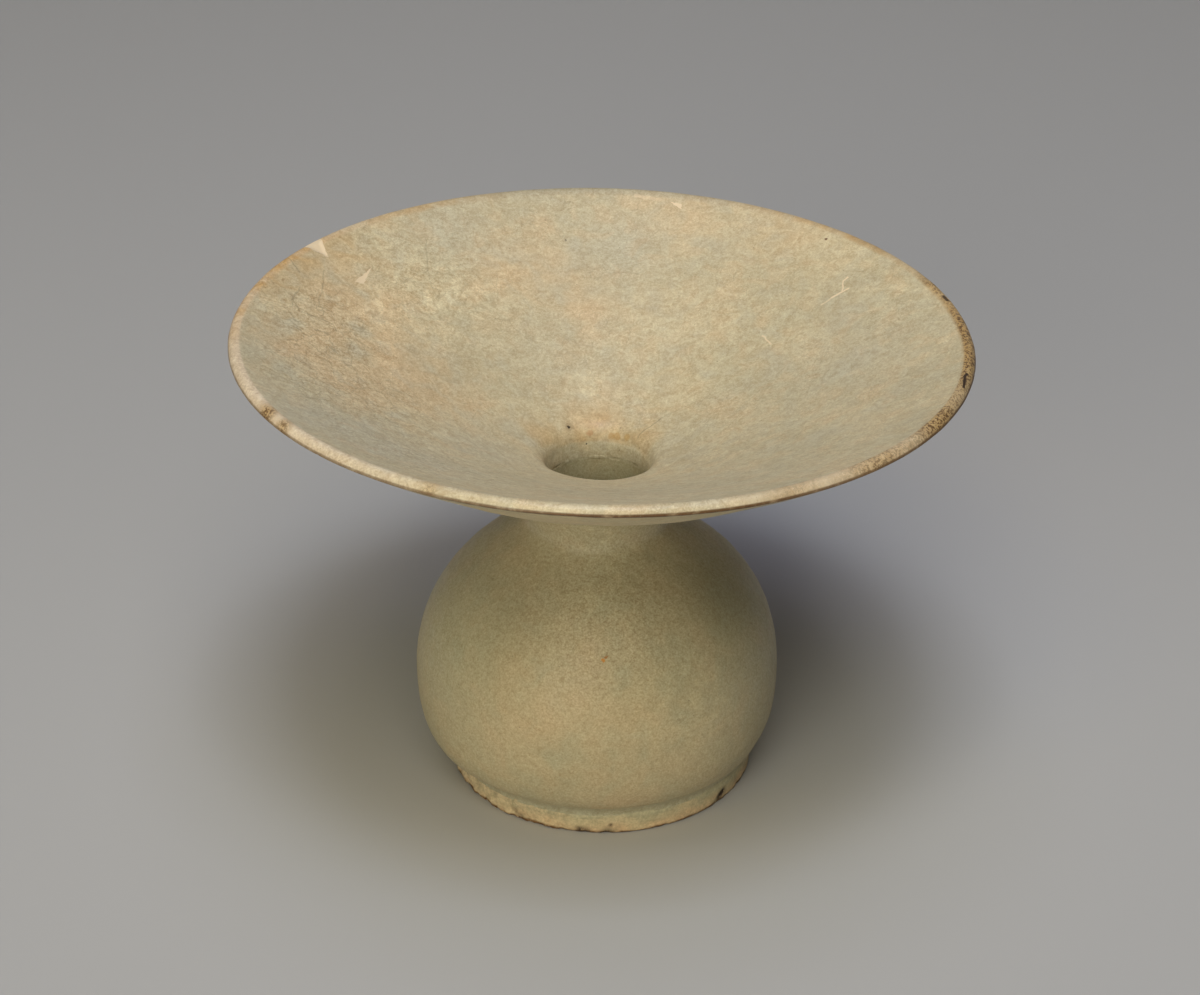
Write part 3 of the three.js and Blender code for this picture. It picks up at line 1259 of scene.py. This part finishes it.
    def within(self, at: Socket, flake: Flake) -> Socket:
        """Fill a flake seen from above.

        Args:
            at: Places.
            flake: The flake.

        Returns:
            1 inside the flake, with soft edges.
        """
        sides = []
        for x, y, offset in flake.edges():
            sides.append(self.math("SUBTRACT", self.vector("DOT_PRODUCT", at, (x, y, 0.0)), offset))
        nearest = self.math("MINIMUM", self.math("MINIMUM", sides[0], sides[1]), sides[2])
        return self.ramp(nearest, -0.05 * MM, 0.08 * MM)

    def bump(self, height: Socket, depth: float, strength: float) -> None:
        """Give the shader a bump from a height between 0 and 1, as deep as depth in metres."""
        node = self.node("Bump", {"Height": height, "Distance": depth, "Strength": strength})
        self.finish("Normal", node.outputs[0])


@dataclass(frozen=True)
class Stroke:
    """A scratch, hairline or burnt bar seen from above, from one azimuth and radius to another."""

    start: Point
    end: Point
    width: float
    strength: float


def strokes(*rows: tuple[float, ...]) -> tuple[Stroke, ...]:
    """Strokes seen from above.

    Args:
        rows: Azimuth in degrees and radius in millimetres of each start, the same of its end, its width
            in millimetres and its strength.

    Returns:
        The strokes in the same order.
    """
    made = []
    for azimuth, radius, end_azimuth, end_radius, width, strength in rows:
        ends = (azimuth, radius * MM), (end_azimuth, end_radius * MM)
        made.append(Stroke(*ends, width * MM, strength))
    return tuple(made)


@dataclass(frozen=True)
class Spot:
    """A small round stain or pock at a place on the surface."""

    centre: tuple[float, float, float]
    radius: float
    colour: Colour
    strength: float


def spots(*rows: tuple) -> tuple[Spot, ...]:
    """Round spots.

    Args:
        rows: X, y, z and radius in millimetres, colour and strength of each.

    Returns:
        The spots in the same order.
    """
    made = []
    for x, y, z, radius, colour, strength in rows:
        made.append(Spot((x * MM, y * MM, z * MM), radius * MM, colour, strength))
    return tuple(made)


@dataclass(frozen=True)
class CeladonGlaze:
    """Thin satin celadon over buff stoneware, sandy with fine flecks, curls, pits and crackle."""

    name: str
    light: Colour
    deep: Colour
    warm: Colour
    cool: Colour
    lip: Colour = (0.7, 0.57, 0.4)
    rust: Colour = (0.12, 0.06, 0.02)
    gold: Colour = (0.48, 0.3, 0.1)
    ochre: Colour = (0.58, 0.36, 0.14)
    bare: Colour = (0.82, 0.66, 0.44)
    # colour of pooled glaze, also laid on as painted shade on the body's shoulders and along the back of the
    # lip
    pool: Colour = (0.4, 0.4, 0.27)
    hair: Colour = (0.2, 0.165, 0.1)
    burn: Colour = (0.035, 0.016, 0.006)
    cloud_size: float = 26 * MM
    drift_size: float = 11 * MM
    crackle_size: float = 8 * MM
    hue_size: float = 6 * MM
    strand_size: float = 4.6 * MM
    streak_size: float = 3.8 * MM
    mottle_size: float = 3.4 * MM
    pit_size: float = 2.3 * MM
    curl_size: float = 1.7 * MM
    grain_size: float = 0.8 * MM
    fine_size: float = 0.4 * MM
    bump_depth: float = 0.05 * MM
    bump_strength: float = 0.12
    grain_share: float = 0.1
    mottle_share: float = 0.13
    curl_share: float = 0.13
    pale_share: float = 0.42
    fleck_shares: Colour = (0.8, 1.03, 1.28)
    hue_share: float = 0.27
    roughness: float = 0.42
    crackle_share: float = 0.0
    flakes: tuple[Flake, ...] = ()
    scratches: tuple[Stroke, ...] = ()
    hairlines: tuple[Stroke, ...] = ()
    bars: tuple[Stroke, ...] = ()
    spots: tuple[Spot, ...] = ()

    def ground(self, wires: Wiring, drift: Socket, hue: Socket, mottle: Socket) -> Socket:
        """Colour of the glaze in broad clouds and patches.

        Args:
            wires: The material's wiring.
            drift: Noise of about a centimetre.
            hue: Smooth noise of about half a centimetre.
            mottle: Noise of a few millimetres.

        Returns:
            The colour.
        """
        warm = wires.broken(Tint.WARM, drift, 0.25, 0.6, 0.35, 0.95)
        cool = wires.broken(Tint.COOL, hue, 0.3, 0.6, 0.5, 1.0)
        colour = wires.layered(
            self.deep,
            (wires.ramp(wires.noise(self.cloud_size, 3, 0.55), 0.36, 0.66), self.light),
            (wires.plus(warm, wires.ramp(drift, 0.55, 0.75, 0.0, 0.4)), self.warm),
            (wires.plus(cool, wires.ramp(drift, 0.45, 0.25, 0.0, 0.4)), self.cool),
            (wires.ramp(hue, 0.5, 0.68, 0.0, self.hue_share), self.warm),
            (wires.ramp(hue, 0.5, 0.32, 0.0, self.hue_share), self.cool),
        )
        # paler glaze, which on the body is painted light on the neck front and the belly's lower right
        pale = wires.broken(Tint.PALE_AND_LIT, mottle, 0.45, 0.65, 0.15, 0.6)
        return wires.vector("SCALE", colour, wires.plus(wires.times(pale, self.pale_share), 1.0))

    def speckle(self, wires: Wiring, colour: Socket, grain: Socket, fine: Socket, curl: Socket) -> Socket:
        """Curled flecks and grain over a colour, all a little greyer than it where they are light.

        Args:
            wires: The material's wiring.
            colour: Colour below.
            grain: Noise of under a millimetre.
            fine: Noise of under half a millimetre.
            curl: 1 along short curled lines.

        Returns:
            The speckled colour.
        """
        streaks = wires.noise(self.streak_size, 4, 0.6, 1.8)
        coarse = wires.ramp(grain, 0.25, 0.75, -self.grain_share, self.grain_share)
        small = wires.ramp(fine, 0.2, 0.8, -self.grain_share, self.grain_share)
        broad = wires.ramp(streaks, 0.3, 0.7, -self.mottle_share, self.mottle_share)
        uneven = wires.plus(wires.plus(coarse, small), broad)
        uneven = wires.times(uneven, wires.ramp(wires.tint(Tint.HAIR), 0.0, 1.0, 0.9, 1.5))
        uneven = wires.plus(uneven, wires.times(curl, self.curl_share))
        gain = wires.vector("ADD", wires.vector("SCALE", self.fleck_shares, uneven), (1.0, 1.0, 1.0))
        return wires.vector("MULTIPLY", colour, gain)

    def marks(self, wires: Wiring, colour: Socket, drift: Socket) -> Socket:
        """Crackle, hairlines, scratches and stains over a colour.

        Args:
            wires: The material's wiring.
            colour: Colour below.
            drift: Noise of about a centimetre.

        Returns:
            The marked colour.
        """
        if self.crackle_share:
            web = wires.cells(self.crackle_size, "DISTANCE_TO_EDGE", wires.warped(5 * MM, 3 * MM))
            thin = wires.ramp(web.outputs["Distance"], 0.022, 0.0)
            stray = wires.ramp(drift, 0.5, 0.62, 0.0, 0.5)
            broken = wires.times(thin, wires.math("MAXIMUM", stray, wires.tint(Tint.HAIR)))
            colour = wires.mix(wires.times(broken, self.crackle_share), colour, self.hair)
            strand = wires.noise(self.strand_size, 2, 0.5, 1.8)
            strand = wires.math("ABSOLUTE", wires.math("SUBTRACT", strand, 0.5))
            strand = wires.times(wires.ramp(strand, 0.016, 0.004), wires.ramp(drift, 0.35, 0.55))
            strand = wires.times(strand, wires.ramp(wires.tint(Tint.HAIR), 0.0, 1.0, 0.08, 0.32))
            colour = wires.mix(strand, colour, self.hair)
        flat = wires.vector("MULTIPLY", wires.warped(4 * MM, 0.9 * MM), (1.0, 1.0, 0.0))
        for drawn, ink in ((self.scratches, self.bare), (self.hairlines, self.hair), (self.bars, self.burn)):
            for mark in drawn:
                line = wires.stroke(flat, plan(*mark.start), plan(*mark.end), mark.width)
                colour = wires.mix(wires.times(line, mark.strength), colour, ink)
        ragged = wires.warped(0.8 * MM, 0.5 * MM)
        for spot in self.spots:
            share = wires.times(wires.spot(ragged, spot.centre, spot.radius), spot.strength)
            colour = wires.mix(share, colour, spot.colour)
        chipped = wires.warped(0.9 * MM, 0.3 * MM)
        for flake in self.flakes:
            colour = wires.mix(wires.within(chipped, flake), colour, self.bare)
        return colour

    def dress(self, piece: bpy.types.Object) -> None:
        """Make the material and give it to a piece.

        Args:
            piece: The piece to dress.
        """
        wires = Wiring(self.name)
        drift = wires.noise(self.drift_size, 1.6, 0.5, 0.4)
        hue = wires.noise(self.hue_size, 1.2, 0.5, 0.6)
        mottle = wires.noise(self.mottle_size, 3, 0.6)
        grain = wires.noise(self.grain_size, 2.5, 0.62, 0.25)
        fine = wires.noise(self.fine_size, 1.5, 0.6)
        ridge = wires.math("ABSOLUTE", wires.math("SUBTRACT", wires.noise(self.curl_size, 1, 0.5, 0.9), 0.5))
        curl = wires.times(wires.ramp(ridge, 0.045, 0.01), wires.ramp(drift, 0.35, 0.6, 0.3, 1.0))
        dots = wires.plus(wires.times(grain, 0.7), wires.times(fine, 0.3))
        colour = wires.layered(
            self.ground(wires, drift, hue, mottle),
            (wires.tint(Tint.LIP), self.lip),
            # pooled glaze, and painted shade where the tint's patches stand for shadow
            (wires.tint(Tint.POOL_AND_SHADE), self.pool),
            (wires.broken(Tint.OCHRE, hue, 0.3, 0.6, 0.5, 1.0), self.ochre),
            (wires.times(wires.tint(Tint.RUST_AND_CONTACT_SHADE), 0.8), self.gold),
            (wires.broken(Tint.RUST_AND_CONTACT_SHADE, dots, 0.48, 0.55), self.rust),
            (wires.broken(Tint.EDGE, mottle, 0.3, 0.5, 0.65, 1.0), self.rust),
        )
        colour = self.speckle(wires, colour, grain, fine, curl)
        pits = wires.cells(self.pit_size, "F1")
        rare = wires.ramp(pits.outputs["Color"], 0.6, 0.62)
        pit = wires.times(wires.ramp(pits.outputs["Distance"], 0.09, 0.045), rare)
        colour = wires.mix(wires.times(pit, 0.6), colour, self.hair)
        colour = self.marks(wires, colour, drift)
        wires.finish("Base Color", colour)
        rough = wires.ramp(mottle, 0.3, 0.7, self.roughness - 0.05, self.roughness + 0.08)
        dull = wires.times(wires.tint(Tint.LIP), 0.12)
        wires.finish("Roughness", wires.plus(rough, dull))
        height = wires.plus(wires.times(grain, 0.6), wires.times(fine, 0.4))
        height = wires.math("SUBTRACT", height, wires.times(pit, 0.6))
        wires.bump(height, self.bump_depth, self.bump_strength)
        piece.data.materials.append(wires.material)


@dataclass(frozen=True)
class FiredFoot:
    """The foot's thin worn glaze over buff clay, with pooled glaze, kiln grit, burnt bites and a rusty bottom
    line that is partly painted contact shadow.
    """

    name: str = "fired_foot"
    glaze: Colour = (0.6, 0.5, 0.3)
    clay: Colour = (0.68, 0.5, 0.29)
    pool: Colour = (0.52, 0.49, 0.31)
    grit: Colour = (0.66, 0.54, 0.33)
    # rust, which along the bottom edge also serves as painted contact shadow
    rust: Colour = (0.14, 0.065, 0.02)
    burnt: Colour = (0.03, 0.016, 0.008)
    patch_size: float = 6 * MM
    mottle_size: float = 1.9 * MM
    grain_size: float = 0.6 * MM
    bump_depth: float = 0.12 * MM
    bump_strength: float = 0.6

    def dress(self, piece: bpy.types.Object) -> None:
        """Make the material and give it to a piece.

        Args:
            piece: The piece to dress.
        """
        wires = Wiring(self.name)
        patchy = wires.noise(self.patch_size, 4, 0.6, 0.3)
        mottle = wires.noise(self.mottle_size, 3, 0.6, 0.2)
        grain = wires.noise(self.grain_size, 2, 0.6)
        colour = wires.layered(
            self.glaze,
            (wires.ramp(patchy, 0.4, 0.7, 0.0, 0.6), self.pool),
            (wires.broken(Tint.BARE, patchy, 0.25, 0.55), self.clay),
            (wires.times(wires.tint(Tint.POOL_AND_SHADE), 0.8), self.pool),
            (wires.broken(Tint.GRIT, mottle, 0.35, 0.6), self.grit),
            # rust along the bottom edge, partly painted contact shadow
            (wires.broken(Tint.RUST_AND_CONTACT_SHADE, mottle, 0.25, 0.55), self.rust),
            (wires.broken(Tint.BURNT, grain, 0.25, 0.5), self.burnt),
        )
        value = wires.plus(wires.ramp(grain, 0.2, 0.8, 0.84, 1.16), wires.ramp(mottle, 0.25, 0.75, -0.1, 0.1))
        wires.finish("Base Color", wires.vector("SCALE", colour, value))
        wires.finish("Roughness", wires.ramp(wires.tint(Tint.POOL_AND_SHADE), 0.0, 1.0, 0.8, 0.5))
        height = wires.plus(wires.times(grain, 0.5), wires.times(mottle, 0.5))
        wires.bump(height, self.bump_depth, self.bump_strength)
        piece.data.materials.append(wires.material)


@dataclass(frozen=True)
class SoftLamp:
    """A square softbox that faces the jar from an azimuth and elevation."""

    name: str
    azimuth: float
    elevation: float
    size: float
    power: float
    distance: float = 1.4
    colour: Colour = (1.0, 1.0, 1.0)
    aim: float = 0.08

    def hang(self) -> None:
        """Put the lamp in the scene."""
        light = bpy.data.lights.new(self.name, "AREA")
        light.energy = self.power
        light.size = self.size
        light.color = self.colour
        lamp = bpy.data.objects.new(self.name, light)
        across, around = math.radians(self.elevation), math.radians(self.azimuth)
        target = Vector((0.0, 0.0, self.aim))
        flat = math.cos(across)
        offset = Vector((flat * math.cos(around), flat * math.sin(around), math.sin(across)))
        lamp.location = target + offset * self.distance
        lamp.rotation_euler = (-offset).to_track_quat("-Z", "Y").to_euler()
        bpy.context.scene.collection.objects.link(lamp)


@dataclass
class Studio:
    """Seamless grey paper, soft lamps and the camera."""

    paper_colour: Colour = (0.447, 0.447, 0.447)
    paper_half_width: float = 3.0
    paper_front: float = -3.0
    sweep_start: float = 0.75
    sweep_radius: float = 0.5
    paper_top: float = 2.5
    camera_place: tuple[float, float, float] = (-0.0005, -0.637, 0.418)
    camera_dip: float = 28.55
    lens: float = 91.5
    sensor: float = 36.0
    lamps: tuple[SoftLamp, ...] = (
        SoftLamp("front_softbox", 270, 55, 1.2, 17.6, 2.2, (1.0, 0.924, 0.759)),
        SoftLamp("low_left_softbox", 250, 14, 1.2, 16.6, 2.2, (1.0, 0.848, 0.638)),
        SoftLamp("left_softbox", 250, 30, 1.2, 3.3, 2.2, (0.51, 0.91, 1.0)),
        SoftLamp("high_front_softbox", 270, 72, 0.35, 4.86, 1.4, (0.833, 0.901, 1.0)),
        SoftLamp("high_right_softbox", 300, 72, 0.35, 1.65, 1.4, (0.71, 0.8, 1.0)),
        SoftLamp("overhead_softbox", 0, 90, 0.7, 3.2, 1.4, (0.794, 0.776, 1.0)),
        SoftLamp("amber_softbox", 240, 52, 0.35, 1.08, 1.4, (1.0, 0.694, 0.05)),
    )

    def lay_paper(self) -> None:
        """Lay the paper flat and sweep it up behind the jar."""
        profile = [(self.paper_front, 0.0), (self.sweep_start, 0.0)]
        centre = (self.sweep_start, self.sweep_radius)
        profile += arc(centre, self.sweep_radius, -90, 0, 16)[1:]
        profile.append((self.sweep_start + self.sweep_radius, self.paper_top))
        spots = [(side, y, z) for y, z in profile for side in (-self.paper_half_width, self.paper_half_width)]
        faces = [(2 * k, 2 * k + 1, 2 * k + 3, 2 * k + 2) for k in range(len(profile) - 1)]
        mesh = bpy.data.meshes.new("paper_sweep")
        mesh.from_pydata(spots, [], faces)
        mesh.shade_smooth()
        paper = bpy.data.objects.new("paper_sweep", mesh)
        bpy.context.scene.collection.objects.link(paper)
        wires = Wiring("matt_paper")
        tooth = wires.noise(0.9 * MM, 2)
        wires.finish("Base Color", self.paper_colour)
        wires.finish("Roughness", 0.9)
        wires.bump(tooth, 0.02 * MM, 0.2)
        mesh.materials.append(wires.material)

    def light_room(self) -> None:
        """Hang the lamps in a dark room."""
        world = bpy.data.worlds.new("studio_room")
        world.use_nodes = True
        world.node_tree.nodes["Background"].inputs["Color"].default_value = (0.0, 0.0, 0.0, 1.0)
        bpy.context.scene.world = world
        for lamp in self.lamps:
            lamp.hang()
        bpy.context.scene.view_settings.view_transform = "Standard"

    def set_camera(self) -> None:
        """Stand the camera where the photograph was taken from."""
        lens = bpy.data.cameras.new("studio_camera")
        lens.lens = self.lens
        lens.sensor_width = self.sensor
        camera = bpy.data.objects.new("studio_camera", lens)
        camera.location = self.camera_place
        camera.rotation_euler = (math.radians(90.0 - self.camera_dip), 0.0, 0.0)
        bpy.context.scene.collection.objects.link(camera)
        bpy.context.scene.camera = camera


FLAKES = (
    Flake(((149.0, 85.2 * MM), (144.3, 85.2 * MM), (147.2, 79.2 * MM)), 0.35 * MM),
    Flake(((147.8, 70.9 * MM), (146.6, 69.3 * MM), (141.2, 72.2 * MM)), 0.2 * MM),
    Flake(((77.8, 81.2 * MM), (75.5, 80.9 * MM), (75.3, 79.2 * MM)), 0.2 * MM),
)

DISH_GLAZE = CeladonGlaze(
    name="dish_celadon",
    light=(0.59, 0.494, 0.308),
    deep=(0.53, 0.456, 0.29),
    warm=(0.635, 0.472, 0.272),
    cool=(0.5, 0.452, 0.325),
    # darker dish patches and painted shade along the back of the lip
    pool=(0.42, 0.37, 0.25),
    crackle_share=0.42,
    flakes=FLAKES,
    scratches=strokes(
        (34.0, 64.5, 34.0, 67.1, 0.4, 0.6),
        (34.0, 67.1, 32.8, 71.1, 0.55, 1.0),
        (33.6, 69.8, 35.6, 72.2, 0.4, 0.9),
        (35.6, 72.2, 35.5, 73.5, 0.5, 1.0),
        (38.7, 49.8, 34.6, 49.3, 0.35, 0.8),
        (84.0, 82.2, 79.6, 81.5, 0.9, 0.45),
    ),
    hairlines=strokes(
        (48.2, 13.2, 43.5, 19.4, 0.35, 0.4),
        (43.5, 19.4, 34.3, 27.5, 0.3, 0.2),
        (153.9, 84.6, 155.7, 80.0, 0.35, 0.4),
        (150.8, 77.0, 158.2, 72.4, 0.35, 0.25),
        (159.7, 77.2, 164.1, 76.2, 0.4, 0.35),
        (164.1, 76.2, 166.3, 73.7, 0.4, 0.35),
        (166.3, 73.7, 164.7, 68.1, 0.4, 0.3),
        (161.4, 71.4, 160.6, 68.0, 0.4, 0.35),
        (158.2, 72.4, 161.4, 71.4, 0.35, 0.25),
        (126.2, 74.2, 129.3, 68.3, 0.35, 0.22),
        (129.3, 68.3, 132.9, 61.6, 0.35, 0.22),
        (132.9, 61.6, 131.4, 59.7, 0.35, 0.2),
        (-158.4, 72.7, -160.8, 66.3, 0.4, 0.3),
        (115.4, 60.9, 118.8, 53.3, 0.35, 0.15),
    ),
    bars=strokes(
        (-13.0, 84.5, -17.6, 84.8, 0.75, 1.0),
        (14.0, 84.5, 15.6, 84.3, 0.9, 0.9),
    ),
    spots=spots(
        (-7.8, 12.9, 83.75, 1.1, (0.2, 0.12, 0.05), 0.3),
        (-8.0, 12.8, 83.7, 0.42, (0.04, 0.025, 0.01), 1.0),
        (-7.6, 13.0, 84.1, 0.25, (0.06, 0.035, 0.015), 1.0),
        (-7.1, 12.9, 83.9, 0.25, (0.06, 0.035, 0.015), 1.0),
        (-9.1, 67.8, 108.2, 0.35, (0.08, 0.06, 0.04), 1.0),
        (55.6, 58.4, 112.7, 0.35, (0.15, 0.07, 0.03), 1.0),
        (-2.9, 12.99, 81.96, 0.8, (0.5, 0.25, 0.1), 0.5),
        (2.1, 12.3, 81.5, 0.9, (0.5, 0.28, 0.07), 0.55),
        (3.4, 12.15, 81.45, 1.0, (0.5, 0.28, 0.07), 0.55),
        (5.9, 11.2, 81.7, 0.9, (0.5, 0.3, 0.08), 0.5),
        (-3.6, 11.82, 79.68, 0.3, (0.06, 0.05, 0.03), 1.0),
    ),
)

BODY_GLAZE = CeladonGlaze(
    name="body_celadon",
    light=(0.505, 0.432, 0.258),
    deep=(0.46, 0.4, 0.24),
    warm=(0.55, 0.43, 0.25),
    cool=(0.43, 0.41, 0.265),
    # pooled glaze at the heel and painted shade on the shoulders
    pool=(0.33, 0.3, 0.18),
    grain_share=0.12,
    mottle_share=0.06,
    curl_share=0.05,
    pale_share=0.32,
    hue_share=0.2,
    roughness=0.5,
    spots=spots(
        (0.2, -36.9, 48.8, 0.45, (0.62, 0.28, 0.05), 1.0),
        (0.9, -36.5, 49.3, 0.4, (0.4, 0.19, 0.05), 1.0),
    ),
)

SLIP_GLAZE = CeladonGlaze(
    name="joint_glaze",
    light=(0.54, 0.46, 0.29),
    deep=(0.5, 0.43, 0.27),
    warm=(0.54, 0.45, 0.27),
    cool=(0.46, 0.43, 0.28),
    pool=(0.44, 0.42, 0.28),
    grain_share=0.1,
    roughness=0.4,
)


def main() -> None:
    """Build the jar piece by piece, then the studio round it."""
    logging.basicConfig(level=logging.INFO, format="%(message)s")
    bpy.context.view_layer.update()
    foot_slip = SlipRing(
        name="foot_slip_ring_glazed",
        node="foot_slip_ring",
        slot=Slot.SLIP,
        level=BODY_LEVEL - SLIP_THICKNESS,
        columns=480,
        inner=28.8 * MM,
        outer=((36.82 * MM, -1.45 * MM), (36.38 * MM, 0.09 * MM), (39.1 * MM, 2.2 * MM)),
    )
    neck_slip = SlipRing(
        name="neck_slip_ring_glazed",
        node="neck_slip_ring",
        slot=Slot.SLIP,
        level=JOINT_LEVEL - SLIP_THICKNESS,
        columns=320,
        inner=THROAT_RADIUS,
        outer=((19.88 * MM, 0.0), (20.12 * MM, 0.4 * MM), (20.5 * MM, 0.8 * MM)),
        bead=0.0,
    )
    FiredFoot().dress(FootRing().build())
    SLIP_GLAZE.dress(foot_slip.build())
    BODY_GLAZE.dress(GlobeBody().build())
    SLIP_GLAZE.dress(neck_slip.build())
    DISH_GLAZE.dress(MouthDish(flakes=FLAKES).build())
    studio = Studio()
    studio.lay_paper()
    studio.light_room()
    studio.set_camera()
    bpy.context.view_layer.update()


if __name__ == "__main__":
    main()
